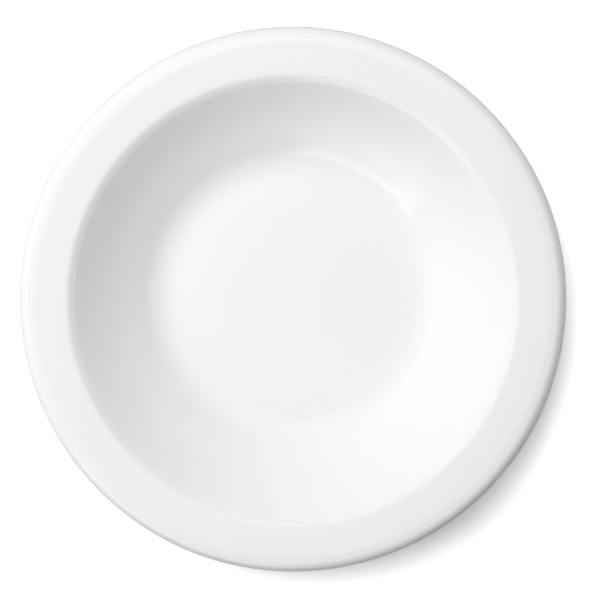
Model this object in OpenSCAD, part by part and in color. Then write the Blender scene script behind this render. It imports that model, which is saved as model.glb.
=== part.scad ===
// Rimmed soup plate in glazed porcelain.
// Every piece is turned from one section, so its outline is drawn once, at the surface of the glaze.
// Millimetres, +Z up, with the plate's axis on Z and the table at z = 0.

/* [Plate] */
// Diameter over the rim
plate_d = 230; // [190:1:280]
// Height from the table to the top of the rim
plate_h = 40; // [32:0.5:48]

/* [Well] */
// Slope of the wall's lower half, in degrees from level
wall_angle = 35.5; // [29:0.5:40]
// Slope of the wall's upper half, in degrees from level
wall_top_angle = 45; // [41:0.5:52]
// Radius of the curve that joins the wall's two slopes
wall_curve_r = 90; // [65:5:110]
// Radius of the bend between the flat floor and the wall
floor_bend_r = 24; // [19:0.5:29]
// Radius of the bend between the wall and the rim
mouth_bend_r = 5.5; // [3:0.5:9]

/* [Rim] */
// Width of the rim, from the mouth of the well to the edge
rim_w = 21; // [16:0.5:30]
// Angle at which the rim climbs outwards, in degrees
rim_angle = 6; // [3:0.5:9]
// Radius under the rim, where it joins the wall
under_rim_r = 8; // [5:0.5:11]
// Radius of the rolled edge's lower corner
lip_under_r = 0.8; // [0.5:0.1:1.6]

/* [Thickness] */
// Thickness of the floor
floor_t = 5.5; // [4.4:0.1:8]
// Thickness of the wall
wall_t = 4.6; // [3.6:0.1:5.6]
// Thickness of the rim at the mouth of the well
rim_t = 4.9; // [4:0.1:6]
// Thickness of the rim at its rolled edge
edge_t = 6.4; // [5.2:0.1:7.6]

/* [Foot ring] */
// How far outside the flat floor the foot ring stands
foot_out = 9.5; // [6:0.5:11.5]
// Width of the foot ring where it stands
foot_w = 3.5; // [2.6:0.1:6]
// Depth of the recess that the foot ring encloses
recess_h = 3; // [2.4:0.1:4]
// Lean of the foot ring's sides from upright, in degrees
foot_angle = 20; // [12:1:26]
// Radius where the foot ring's outside meets the underside
foot_fillet_r = 2; // [1:0.1:3]
// Radius where the foot ring's inside meets the base
recess_fillet_r = 1.3; // [0.6:0.1:1.6]
// Radius at the standing edges of the foot ring
foot_edge_r = 0.8; // [0.4:0.1:1.1]

/* [Glaze] */
// Thickness of the glaze
glaze_t = 0.25; // [0.15:0.05:0.4]
// Height of the bare band that is wiped clean on the foot ring
bare_h = 1.2; // [0.9:0.1:1.5]

/* [Hidden] */
glaze_white = "#F4F5F4";
bare_porcelain = "#E8E4DA";
// Sides of a full turn in the preview
turn_sides = 180;
// Largest step along a bend of the outline, in degrees
bend_step_angle = 3;

// Heading of the line from one point to the next
function heading(from, to) = atan2(to.y - from.y, to.x - from.x);

// Signed angle of the corner at the second of three points, positive to the left
function corner_turn(from, at, to) = atan2(cross(at - from, to - at), (at - from) * (to - at));

// Point at a distance ahead along a heading
function ahead(point, angle, length) = point + length * [cos(angle), sin(angle)];

// Point at a distance to the right of a heading, which is the clay's side of the outline
function beside(point, angle, length) = point + length * [sin(angle), -cos(angle)];

// Crossing of two lines, each given by a point and a heading
function crossing(p, p_angle, q, q_angle) =
    let (p_way = [cos(p_angle), sin(p_angle)], q_way = [cos(q_angle), sin(q_angle)])
    p + p_way * cross(q - p, q_way) / cross(p_way, q_way);

// Point where a line leaves a circle
function onto_circle(point, angle, centre, radius) =
    let (way = [cos(angle), sin(angle)], arm = point - centre, nearest = -(arm * way))
    point + way * (nearest + sqrt(nearest ^ 2 - arm * arm + radius ^ 2));

// Points of the bend that rounds the second of three corners, at a depth under the outline
function bend(from, corner, to, depth) =
    let (
        at = corner[0],
        radius = corner[1],
        start_angle = heading(from, at),
        turn = corner_turn(from, at, to),
        side = sign(turn),
        start = ahead(at, start_angle, -radius * tan(abs(turn) / 2)),
        centre = beside(start, start_angle, -side * radius),
        steps = ceil(abs(turn) / bend_step_angle)
    )
    [for (i = [0:steps]) beside(centre, start_angle + turn * i / steps, side * radius + depth)];

// Points of every bend along a list of [corner, radius], whose first and last entries are plain ends
function bends(corners, depth) =
    [for (i = [1:len(corners) - 2]) each bend(corners[i - 1][0], corners[i], corners[i + 1][0], depth)];

// A whole line of corners with both its ends, at a depth under the outline
function skin(corners, depth) =
    let (
        first = corners[0][0],
        last = corners[len(corners) - 1][0],
        first_angle = heading(first, corners[1][0]),
        last_angle = heading(corners[len(corners) - 2][0], last)
    )
    concat([beside(first, first_angle, depth)], bends(corners, depth), [beside(last, last_angle, depth)]);

function reversed(list) = [for (i = [len(list) - 1:-1:0]) list[i]];

// Rim: it climbs to a rolled edge, a quarter round whose top is at the plate's full height. It thickens
// towards that edge, so its underside climbs at an angle of its own
plate_r = plate_d / 2;
rim_rise = rim_w * tan(rim_angle);
under_rim_angle = heading(beside([0, 0], rim_angle, rim_t), [rim_w, rim_rise - edge_t]);
lip_r = (edge_t - lip_under_r * tan((90 - under_rim_angle) / 2)) / tan((90 + rim_angle) / 2);
edge = [plate_r, plate_h + lip_r * (tan(rim_angle) + 1 / cos(rim_angle) - 1)];
edge_under = edge - [0, edge_t];

// Well: the wall runs down from the mouth's corner, changes its slope halfway down, and bends into
// the flat floor
floor_h = recess_h + floor_t;
mouth = edge - [rim_w, rim_rise];
wall_middle = crossing(mouth, wall_top_angle, [0, (mouth.y + floor_h) / 2], 0);
floor_edge = crossing(wall_middle, wall_angle, [0, floor_h], 0);
floor_r = floor_edge.x - floor_bend_r * tan(wall_angle / 2);
bend_centre = [floor_r, floor_h + floor_bend_r];

// Foot ring: its sides are bare clay at the table and carry the glaze above the bare band
foot_outside = [floor_r + foot_out, 0];
foot_inside = foot_outside - [foot_w, 0];
outside_angle = 270 - foot_angle;
inside_angle = 90 + foot_angle;
glazed_outside = beside(foot_outside, outside_angle, -glaze_t);
glazed_inside = beside(foot_inside, inside_angle, -glaze_t);
coat_end = crossing(glazed_outside, outside_angle, [0, bare_h], 0);
base_start = crossing(glazed_inside, inside_angle, [0, bare_h], 0);
recess_edge = crossing(glazed_inside, inside_angle, [0, recess_h], 0);

// Underside of the well: it follows the wall and the floor's bend at the wall's thickness, in to the
// point where the foot ring's fillet touches it
wall_top_under = beside(mouth, wall_top_angle, wall_t);
wall_under = beside(wall_middle, wall_angle, wall_t);
under_rim = crossing(edge_under, under_rim_angle, wall_top_under, wall_top_angle);
under_middle = crossing(wall_top_under, wall_top_angle, wall_under, wall_angle);
belly_bend_r = floor_bend_r + wall_t;
fillet_line = beside(glazed_outside, outside_angle, -foot_fillet_r);
fillet_centre = onto_circle(fillet_line, outside_angle, bend_centre, belly_bend_r + foot_fillet_r);
belly_angle = heading(fillet_centre, bend_centre) - 90;
belly_start = beside(bend_centre, belly_angle, belly_bend_r);
belly = crossing(belly_start, belly_angle, wall_under, wall_angle);
foot_root = crossing(glazed_outside, outside_angle, belly_start, belly_angle);

// Glazed line from the middle of the well, over the rim and down to the foot ring's bare band
coat_corners = [
    [[0, floor_h], 0],
    [floor_edge, floor_bend_r],
    [wall_middle, wall_curve_r],
    [mouth, mouth_bend_r],
    [edge, lip_r],
    [edge_under, lip_under_r],
    [under_rim, under_rim_r],
    [under_middle, wall_curve_r + wall_t],
    [belly, belly_bend_r],
    [foot_root, foot_fillet_r],
    [coat_end, 0]
];

// Glazed line inside the foot ring, from its bare band to the middle of the base
base_corners = [
    [base_start, 0],
    [recess_edge, recess_fillet_r],
    [[0, recess_h], 0]
];

// Bare line round the foot ring, between the two glazes
bare_corners = [
    [beside(coat_end, outside_angle, glaze_t), 0],
    [foot_outside, foot_edge_r],
    [foot_inside, foot_edge_r],
    [beside(base_start, inside_angle, glaze_t), 0]
];

module turned(outline) {
    rotate_extrude($fn = turn_sides)
        polygon(outline);
}

// A coat of glaze between its own surface and the clay under it
module coat(corners) {
    turned(concat(skin(corners, 0), reversed(skin(corners, glaze_t))));
}

// The fired clay: well, rim and foot ring are one piece, bare only where it stands
module porcelain_body() {
    color(bare_porcelain)
        turned(concat(
            skin(coat_corners, glaze_t),
            bends(bare_corners, 0),
            skin(base_corners, glaze_t)
        ));
}

// The glaze that covers the well, the rim and the underside in one unbroken coat
module glaze_coat() {
    color(glaze_white)
        coat(coat_corners);
}

// The glaze on the base, cut off from the rest by the bare foot ring
module base_glaze() {
    color(glaze_white)
        coat(base_corners);
}

porcelain_body();
glaze_coat();
base_glaze();
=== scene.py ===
import math
import random

import bmesh
import bpy
from mathutils import Matrix, Vector


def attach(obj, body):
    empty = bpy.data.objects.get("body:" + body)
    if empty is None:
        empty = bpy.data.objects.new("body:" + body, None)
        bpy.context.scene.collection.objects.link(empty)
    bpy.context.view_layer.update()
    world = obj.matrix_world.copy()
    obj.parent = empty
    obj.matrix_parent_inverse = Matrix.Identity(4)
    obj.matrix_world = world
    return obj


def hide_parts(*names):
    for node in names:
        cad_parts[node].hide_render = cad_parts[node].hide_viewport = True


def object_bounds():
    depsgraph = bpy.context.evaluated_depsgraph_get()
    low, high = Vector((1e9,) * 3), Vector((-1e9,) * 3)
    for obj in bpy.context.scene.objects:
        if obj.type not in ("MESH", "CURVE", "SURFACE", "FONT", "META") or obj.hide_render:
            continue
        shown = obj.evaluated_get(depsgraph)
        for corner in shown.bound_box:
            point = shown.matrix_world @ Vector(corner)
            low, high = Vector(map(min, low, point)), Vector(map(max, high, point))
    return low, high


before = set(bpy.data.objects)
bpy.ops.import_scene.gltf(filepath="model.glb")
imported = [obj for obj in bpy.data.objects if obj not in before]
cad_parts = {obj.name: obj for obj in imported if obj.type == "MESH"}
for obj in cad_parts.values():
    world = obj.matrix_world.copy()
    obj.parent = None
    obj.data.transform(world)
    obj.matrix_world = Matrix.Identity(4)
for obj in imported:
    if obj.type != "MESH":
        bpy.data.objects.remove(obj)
cad_low, cad_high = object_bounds()


# The view: a camera high over the plate that looks almost straight down on it.
# It leans towards the top of the picture, so the floor of the well, which lies deeper than the rim,
# shows slightly above the rim's middle.
scene = bpy.context.scene
scene.view_settings.view_transform = "Standard"
mm = 0.001
image_long_px = 603
image_middle_px = Vector((300, 301.5))
plate_middle_px = Vector((292.8, 298.9))
plate_radius_px = 273.5
lens_mm = 150
sensor_mm = 36
camera_lean = math.radians(4)
camera_side = math.radians(85)
plate_radius = cad_high.x
widest_drop = 5 * mm  # from the top of the rolled edge down to where it is widest

focal_px = image_long_px * lens_mm / sensor_mm
camera_distance = plate_radius * focal_px / plate_radius_px
back = Vector((
    math.sin(camera_lean) * math.cos(camera_side),
    math.sin(camera_lean) * math.sin(camera_side),
    math.cos(camera_lean),
))
right = Vector((0, 1, 0)).cross(back).normalized()
up = back.cross(right)
metres_per_px = camera_distance / focal_px
# In perspective the near half of the leaning outline is drawn larger, which moves its middle
near_shift_px = plate_radius_px * math.sin(camera_lean) * plate_radius / camera_distance
axis_px = plate_middle_px - near_shift_px * Vector((math.cos(camera_side), -math.sin(camera_side)))
off_middle = (image_middle_px - axis_px) * metres_per_px
widest_middle = Vector((0, 0, cad_high.z - widest_drop))
camera_place = widest_middle + back * camera_distance + right * off_middle.x - up * off_middle.y

camera_data = bpy.data.cameras.new("camera")
camera_data.lens = lens_mm
camera_data.sensor_width = sensor_mm
camera = bpy.data.objects.new("camera", camera_data)
scene.collection.objects.link(camera)
camera.matrix_world = Matrix.Translation(camera_place) @ Matrix((right, up, back)).transposed().to_4x4()
scene.camera = camera


# The porcelain body: well, rim and foot ring in one piece, roller-formed from a slab of clay and
# fired at 1350 degrees to a dense warm white. It is bare only on the ring that it stands on, where
# the glaze is wiped off and the edge is rubbed smooth after the firing.
plate_h = cad_high.z / mm
plate_r = plate_radius / mm
# The section's sizes in millimetres, the same as the CAD model's
wall_angle = math.radians(35.5)
wall_top_angle = math.radians(45)
wall_curve_r = 90
floor_bend_r = 24
mouth_bend_r = 5.5
rim_w = 21
rim_angle = math.radians(6)
under_rim_r = 8
lip_under_r = 0.8
floor_t = 5.5
wall_t = 4.6
rim_t = 4.9
edge_t = 6.4
foot_out = 9.5
foot_w = 3.5
recess_h = 3
foot_angle = math.radians(20)
foot_fillet_r = 2
recess_fillet_r = 1.3
foot_edge_r = 0.8
glaze_t = 0.25
bare_h = 1.2
quarter = math.radians(90)
touching = 1e-6  # points nearer than this are one point
turn_sides = 232  # few enough for the largest mesh to stay under 200,000 triangles


def point(r, z):
    """A point of the section, by its distance from the axis and its height."""
    return Vector((r, z))


def heading(start, end):
    """The angle of the way from start to end, from level outwards."""
    return math.atan2(end.y - start.y, end.x - start.x)


def ahead(start, angle, length):
    """At this length along the heading."""
    return start + length * point(math.cos(angle), math.sin(angle))


def beside(start, angle, length):
    """At this length to the right of the heading, which is into the clay."""
    return start + length * point(math.sin(angle), -math.cos(angle))


def crossing(p, p_angle, q, q_angle):
    """Where two lines cross, each given by a point and a heading."""
    p_way = ahead(point(0, 0), p_angle, 1)
    q_way = ahead(point(0, 0), q_angle, 1)
    return p + p_way * ((q - p).cross(q_way) / p_way.cross(q_way))


# Rim, which climbs outwards and thickens up to its rolled edge
rim_rise = rim_w * math.tan(rim_angle)
under_rim_angle = heading(beside(point(0, 0), rim_angle, rim_t), point(rim_w, rim_rise - edge_t))
lip_r = (
    edge_t - lip_under_r * math.tan((quarter - under_rim_angle) / 2)
) / math.tan((quarter + rim_angle) / 2)
edge = point(plate_r, plate_h + lip_r * (math.tan(rim_angle) + 1 / math.cos(rim_angle) - 1))
edge_under = edge - point(0, edge_t)

# Well, whose wall has two slopes and bends into the flat floor
floor_h = recess_h + floor_t
mouth = edge - point(rim_w, rim_rise)
wall_middle = crossing(mouth, wall_top_angle, point(0, (mouth.y + floor_h) / 2), 0)
floor_edge = crossing(wall_middle, wall_angle, point(0, floor_h), 0)
floor_r = floor_edge.x - floor_bend_r * math.tan(wall_angle / 2)
bend_centre = point(floor_r, floor_h + floor_bend_r)

# Foot ring, bare at the table and glazed on its sides from the bare band up
foot_outside = point(floor_r + foot_out, 0)
foot_inside = point(floor_r + foot_out - foot_w, 0)
outside_angle = 3 * quarter - foot_angle
inside_angle = quarter + foot_angle
glazed_outside = beside(foot_outside, outside_angle, -glaze_t)
glazed_inside = beside(foot_inside, inside_angle, -glaze_t)
coat_end = crossing(glazed_outside, outside_angle, point(0, bare_h), 0)
base_start = crossing(glazed_inside, inside_angle, point(0, bare_h), 0)
recess_edge = crossing(glazed_inside, inside_angle, point(0, recess_h), 0)

# Underside, which follows the wall in to the foot ring's fillet
wall_top_under = beside(mouth, wall_top_angle, wall_t)
wall_under = beside(wall_middle, wall_angle, wall_t)
under_rim = crossing(edge_under, under_rim_angle, wall_top_under, wall_top_angle)
under_middle = crossing(wall_top_under, wall_top_angle, wall_under, wall_angle)
belly_bend_r = floor_bend_r + wall_t
fillet_line = beside(glazed_outside, outside_angle, -foot_fillet_r)
arm = fillet_line - bend_centre
way = ahead(point(0, 0), outside_angle, 1)
nearest = -arm.dot(way)
fillet_centre = fillet_line + way * (
    nearest + math.sqrt(nearest**2 - arm.dot(arm) + (belly_bend_r + foot_fillet_r) ** 2)
)
belly_angle = heading(fillet_centre, bend_centre) - quarter
belly_start = beside(bend_centre, belly_angle, belly_bend_r)
belly = crossing(belly_start, belly_angle, wall_under, wall_angle)
foot_root = crossing(glazed_outside, outside_angle, belly_start, belly_angle)

# Corners with the radius that rounds each, the ends with none
coat_corners = [
    (point(0, floor_h), 0),
    (floor_edge, floor_bend_r),
    (wall_middle, wall_curve_r),
    (mouth, mouth_bend_r),
    (edge, lip_r),
    (edge_under, lip_under_r),
    (under_rim, under_rim_r),
    (under_middle, wall_curve_r + wall_t),
    (belly, belly_bend_r),
    (foot_root, foot_fillet_r),
    (coat_end, 0),
]
base_corners = [
    (base_start, 0),
    (recess_edge, recess_fillet_r),
    (point(0, recess_h), 0),
]
bare_corners = [
    (beside(coat_end, outside_angle, glaze_t), 0),
    (foot_outside, foot_edge_r),
    (foot_inside, foot_edge_r),
    (beside(base_start, inside_angle, glaze_t), 0),
]


def trace(corners, straight_step=2.5, bend_step=math.radians(2.5)):
    """Points along rounded corners, each with the line's heading there and its bending, which is
    positive where the clay is hollowed and negative where it stands out."""
    first, second = corners[0][0], corners[1][0]
    line = [(first, heading(first, second), 0)]

    def straight_to(end):
        start, angle, _ = line[-1]
        length = (end - start).length
        steps = max(1, math.ceil(length / straight_step))
        way_angle = heading(start, end) if length > touching else angle
        line.extend((start.lerp(end, i / steps), way_angle, 0) for i in range(1, steps + 1))

    for before, (at, radius), after in zip(corners, corners[1:], corners[2:]):
        angle = heading(before[0], at)
        turn = math.remainder(heading(at, after[0]) - angle, 2 * math.pi)
        side = math.copysign(1, turn)
        start = ahead(at, angle, -radius * math.tan(abs(turn) / 2))
        centre = beside(start, angle, -side * radius)
        straight_to(start)
        steps = math.ceil(abs(turn) / bend_step)
        for i in range(1, steps + 1):
            here = angle + turn * i / steps
            line.append((beside(centre, here, side * radius), here, side / radius))
    straight_to(corners[-1][0])
    return line


def lathe(name, outline, waver=None):
    """A closed solid turned about Z from a closed outline in millimetres. waver gives how far each
    outline point may shift, as a vector for each point, and how much it does at each angle."""
    shifts, amount = waver or ([point(0, 0)] * len(outline), lambda angle: 0)
    mesh = bmesh.new()
    rings = []
    for at, shift in zip(outline, shifts):
        if at.x < touching:
            rings.append([mesh.verts.new((0, 0, at.y * mm))] * turn_sides)
            continue
        ring = []
        for i in range(turn_sides):
            angle = 2 * math.pi * i / turn_sides
            moved = at + shift * amount(angle)
            ring.append(mesh.verts.new((
                moved.x * math.cos(angle) * mm,
                moved.x * math.sin(angle) * mm,
                moved.y * mm,
            )))
        rings.append(ring)
    for ring, after in zip(rings, rings[1:] + rings[:1]):
        for i in range(turn_sides):
            j = (i + 1) % turn_sides
            corners = dict.fromkeys((ring[i], ring[j], after[j], after[i]))
            if len(corners) > 2:
                mesh.faces.new(corners)
    bmesh.ops.recalc_face_normals(mesh, faces=mesh.faces)
    data = bpy.data.meshes.new(name)
    mesh.to_mesh(data)
    mesh.free()
    data.shade_smooth()
    piece = bpy.data.objects.new(name, data)
    scene.collection.objects.link(piece)
    return piece


def linear(hex_colour):
    """A colour written as sRGB hex, as the shader wants it."""
    values = [int(hex_colour[i:i + 2], 16) / 255 for i in (1, 3, 5)]
    return (*[v / 12.92 if v <= 0.04045 else ((v + 0.055) / 1.055) ** 2.4 for v in values], 1)


def new_material(name):
    """A material with no nodes yet, and its node tree."""
    material = bpy.data.materials.new(name)
    material.use_nodes = True
    material.node_tree.nodes.clear()
    return material, material.node_tree


def add(tree, kind, inputs=(), **settings):
    """Adds a node. inputs are pairs of a socket and its value, or the output that feeds it."""
    made = tree.nodes.new("ShaderNode" + kind)
    for key, value in settings.items():
        setattr(made, key, value)
    for socket, value in inputs:
        if isinstance(value, bpy.types.NodeSocket):
            tree.links.new(value, made.inputs[socket])
        else:
            made.inputs[socket].default_value = value
    return made


coat_line = trace(coat_corners)
base_line = trace(base_corners, straight_step=3)
bare_line = trace(bare_corners, straight_step=0.4, bend_step=math.radians(10))
body_outline = (
    [beside(at, angle, glaze_t) for at, angle, _ in coat_line]
    + [at for at, _, _ in bare_line[1:-1]]
    + [beside(at, angle, glaze_t) for at, angle, _ in base_line]
)
body = lathe("fired_porcelain_body", body_outline)

# Bare fired porcelain: a dry, even white that the kiln leaves slightly warm, with faint rings from
# the rubbing block and a little grey on the face that slides over tables. Its real grain is too fine
# to show, so it is drawn coarser.
bare_porcelain, tree = new_material("bare porcelain")
grain_mm = 0.35
ring_mm = 0.8
mottle_mm = 9
rubbed_h = 0.25
relief_mm = 0.05
wave_turn = 20  # radians that a wave texture of scale 1 turns in a metre
place = add(tree, "TexCoord").outputs["Object"]
axes = add(tree, "SeparateXYZ", [("Vector", place)])
grain = add(tree, "TexNoise", [("Vector", place), ("Scale", 1 / (grain_mm * mm)), ("Detail", 3.0)])
mottle = add(tree, "TexNoise", [("Vector", place), ("Scale", 1 / (mottle_mm * mm)), ("Detail", 2.0)])
rings = add(tree, "TexWave", [
    ("Vector", place),
    ("Scale", 2 * math.pi / (wave_turn * ring_mm * mm)),
    ("Distortion", 1.5),
    ("Detail", 2.0),
], wave_type="RINGS", rings_direction="Z")
tone = add(tree, "MixRGB", [
    ("Fac", mottle.outputs["Fac"]),
    ("Color1", linear("#E9E4D8")),
    ("Color2", linear("#DDD7C9")),
])
rubbed = add(tree, "MapRange", [
    ("Value", axes.outputs["Z"]),
    ("From Min", 0.0),
    ("From Max", rubbed_h * mm),
    ("To Min", 0.45),
    ("To Max", 0.0),
])
worn = add(tree, "MixRGB", [
    ("Fac", rubbed.outputs["Result"]),
    ("Color1", tone.outputs["Color"]),
    ("Color2", linear("#BDB8AE")),
])
rough = add(tree, "MapRange", [
    ("Value", grain.outputs["Fac"]),
    ("To Min", 0.55),
    ("To Max", 0.75),
])
relief = add(tree, "MixRGB", [
    ("Fac", 0.4),
    ("Color1", grain.outputs["Fac"]),
    ("Color2", rings.outputs["Fac"]),
])
bump = add(tree, "Bump", [
    ("Strength", 0.35),
    ("Distance", relief_mm * mm),
    ("Height", relief.outputs["Color"]),
])
shader = add(tree, "BsdfPrincipled", [
    ("Base Color", worn.outputs["Color"]),
    ("Roughness", rough.outputs["Result"]),
    ("IOR", 1.5),
    ("Normal", bump.outputs["Normal"]),
])
add(tree, "OutputMaterial", [("Surface", shader.outputs["BSDF"])])
body.data.materials.append(bare_porcelain)
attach(body, "root")
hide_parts("porcelain_body")


# The glaze over the plate: one dip of clear feldspar glaze that the firing melts to a quarter of a
# millimetre of glass. It runs thin over the edges and ends above the foot in a round melted edge
# that wavers.
melted_w = 0.45
melted_steps = 7
# The coat pools to its full thickness in the hollows. Elsewhere it lacks the flat share of that, and
# over an edge of the sharp radius or less the edge share too
flat_thin_share = 0.12
edge_thin_share = 0.35
sharp_edge_r = 6
# The waver is made of waves that go round the plate so many times, and the shorter ones are lower
waver_mm = 0.22
wave_counts = (2, 3, 5, 8, 13, 21)
least_wave_share = 0.4
wave_fade_power = 0.7


def glaze_outline(line, end_first):
    """The glaze's own closed outline, and how far each point follows the waver of the glaze's end."""
    if end_first:
        line = line[::-1]
    side = -1 if end_first else 1
    end, end_angle, _ = line[-1]
    root = next(at for at, _, bending in reversed(line) if bending)
    outside = []
    for at, angle, bending in line[:-1]:
        if (at - end).length < melted_w:
            continue
        sharpness = min(1, max(0, -bending * sharp_edge_r))
        thinned = edge_thin_share * sharpness + flat_thin_share * (bending <= 0)
        outside.append((at, angle, thinned))
    for i in range(melted_steps + 1):
        turn = quarter * i / melted_steps
        at = ahead(end, end_angle, -side * melted_w * (1 - math.sin(turn)))
        thinned = flat_thin_share + (1 - flat_thin_share) * (1 - math.cos(turn))
        outside.append((at, end_angle, thinned))
    inside = [(at, angle, 1) for at, angle, _ in reversed(line[:-1])]
    outline, shifts = [], []
    for at, angle, thinned in outside + inside:
        outline.append(beside(at, angle, thinned * glaze_t))
        reach = max(0, 1 - (at - end).length / (root - end).length)
        shifts.append(ahead(point(0, 0), end_angle, side * waver_mm * reach))
    return outline, shifts


def wavering(seed):
    """A smooth wander round the plate, from -1 to 1, that closes on itself."""
    draw = random.Random(seed)
    waves = []
    for count in wave_counts:
        phase = draw.uniform(0, 2 * math.pi)
        height = draw.uniform(least_wave_share, 1) / count**wave_fade_power
        waves.append((count, phase, height))
    most = sum(height for _, _, height in waves)

    def wander(angle):
        return sum(height * math.sin(count * angle + phase) for count, phase, height in waves) / most

    return wander


def glaze_piece(name, line, end_first, seed):
    """The glaze along a traced line. end_first says that its melted end is where the line begins."""
    outline, shifts = glaze_outline(line, end_first)
    return lathe(name, outline, waver=(shifts, wavering(seed)))


coat = glaze_piece("glaze_over_plate", coat_line, end_first=False, seed=3)

# Clear glaze over white porcelain: the eye gets the body's even white with a soft gloss on top,
# which a slight ripple like orange peel breaks up
glaze, tree = new_material("clear glaze on porcelain")
peel_mm = 4
peel_relief_mm = 0.02
cloud_mm = 35
place = add(tree, "TexCoord").outputs["Object"]
cloud = add(tree, "TexNoise", [("Vector", place), ("Scale", 1 / (cloud_mm * mm)), ("Detail", 2.0)])
peel = add(tree, "TexNoise", [("Vector", place), ("Scale", 1 / (peel_mm * mm)), ("Detail", 1.0)])
colour = add(tree, "MixRGB", [
    ("Fac", cloud.outputs["Fac"]),
    ("Color1", linear("#ECEDED")),
    ("Color2", linear("#EEEEEE")),
])
rough = add(tree, "MapRange", [
    ("Value", cloud.outputs["Fac"]),
    ("To Min", 0.12),
    ("To Max", 0.2),
])
bump = add(tree, "Bump", [
    ("Strength", 0.2),
    ("Distance", peel_relief_mm * mm),
    ("Height", peel.outputs["Fac"]),
])
shader = add(tree, "BsdfPrincipled", [
    ("Base Color", colour.outputs["Color"]),
    ("Roughness", rough.outputs["Result"]),
    ("IOR", 1.5),
    ("Normal", bump.outputs["Normal"]),
])
add(tree, "OutputMaterial", [("Surface", shader.outputs["BSDF"])])
coat.data.materials.append(glaze)
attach(coat, "root")
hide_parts("glaze_coat")


# The glaze on the base, inside the foot ring: the same dip, cut off from the rest when the ring is
# wiped. Its melted edge stands on the ring's inner side.
base = glaze_piece("glaze_inside_foot", base_line, end_first=True, seed=8)
base.data.materials.append(glaze)
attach(base, "root")
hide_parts("base_glaze")


# The table: a round sheet of matt pale card that the plate stands on, in a white room. The camera
# sees the card brightened until it is as white as the room past its edge, all but where the plate
# shades it, and the glaze mirrors it as white.
table_radius = 0.42
table_sides = 128


def seen_rays(tree):
    """Is Camera Ray, and the same with the rays that a surface mirrors or lets through."""
    path = add(tree, "LightPath")
    straight = path.outputs["Is Camera Ray"]
    seen = straight
    for bent in ("Is Glossy Ray", "Is Transmission Ray"):
        seen = add(tree, "Math", [(0, seen), (1, path.outputs[bent])], operation="MAXIMUM").outputs["Value"]
    return straight, seen


# Matt card has no gloss, so the eye gets one even tone with only the plate's soft shadow on it.
# The camera alone sees it this many times as bright as white card, and by this much lifted.
card, tree = new_material("matt pale card")
card_colour = "#B4B4B3"
card_gain = 2.0
card_lift = 0.02
straight, seen = seen_rays(tree)
plain = add(tree, "BsdfDiffuse", [("Color", linear(card_colour))])
tone = add(tree, "MapRange", [("Value", straight), ("To Min", 1.0), ("To Max", card_gain)])
bright = add(tree, "BsdfDiffuse", [("Color", tone.outputs["Result"])])
lift_strength = add(tree, "Math", [(0, straight), (1, card_lift)], operation="MULTIPLY")
lift = add(tree, "Emission", [("Strength", lift_strength.outputs["Value"])])
lifted = add(tree, "AddShader", [(0, bright.outputs["BSDF"]), (1, lift.outputs["Emission"])])
mixed = add(tree, "MixShader", [
    ("Fac", seen),
    (1, plain.outputs["BSDF"]),
    (2, lifted.outputs["Shader"]),
])
add(tree, "OutputMaterial", [("Surface", mixed.outputs["Shader"])])
table_data = bpy.data.meshes.new("table")
mesh = bmesh.new()
bmesh.ops.create_circle(mesh, cap_ends=True, segments=table_sides, radius=table_radius)
mesh.to_mesh(table_data)
mesh.free()
table = bpy.data.objects.new("table", table_data)
scene.collection.objects.link(table)
table_data.materials.append(card)


# The light: a long soft light on the left, weaker ones in front and low on the right, and a lamp
# almost overhead, a little behind the plate. The first and the last draw its shadow, and only the one
# in front is mirrored in the glaze. The room's white walls show, but give little light of their own.
room_colour = "#FFFFFF"
room_level = 0.039
backdrop_level = 1.0
world = bpy.data.worlds.new("white studio")
world.use_nodes = True
scene.world = world
tree = world.node_tree
tree.nodes.clear()
_, seen = seen_rays(tree)
strength = add(tree, "MapRange", [
    ("Value", seen),
    ("To Min", room_level),
    ("To Max", backdrop_level),
])
backdrop = add(tree, "Background", [
    ("Color", linear(room_colour)),
    ("Strength", strength.outputs["Result"]),
])
add(tree, "OutputWorld", [("Surface", backdrop.outputs["Background"])])


def soft_light(name, level, width, depth, distance, tilt, side, mirrored=False):
    """A flat lamp that faces the plate, with its sizes in metres. tilt is in degrees from overhead,
    and side in degrees anticlockwise from the right of the picture. On a white card in the plate's
    place the lamp alone would give level as a share of plain white."""
    data = bpy.data.lights.new(name, "AREA")
    data.shape = "RECTANGLE"
    data.size = width
    data.size_y = depth
    data.energy = level * math.pi**2 * distance**2 / math.cos(math.radians(tilt))
    light = bpy.data.objects.new(name, data)
    scene.collection.objects.link(light)
    light.matrix_world = (
        Matrix.Rotation(math.radians(side) + quarter, 4, "Z")
        @ Matrix.Rotation(math.radians(tilt), 4, "X")
        @ Matrix.Translation((0, 0, distance))
    )
    light.visible_glossy = mirrored


soft_light("left light", level=0.476, width=1.26, depth=0.22, distance=1.1, tilt=46.5, side=161)
soft_light(
    "front light",
    level=0.089, width=0.75, depth=0.34, distance=1.0, tilt=58, side=243,
    mirrored=True,
)
soft_light("right light", level=0.044, width=0.6, depth=0.6, distance=1.0, tilt=78, side=28.5)
soft_light("overhead lamp", level=0.463, width=0.41, depth=0.66, distance=1.1, tilt=20, side=93)
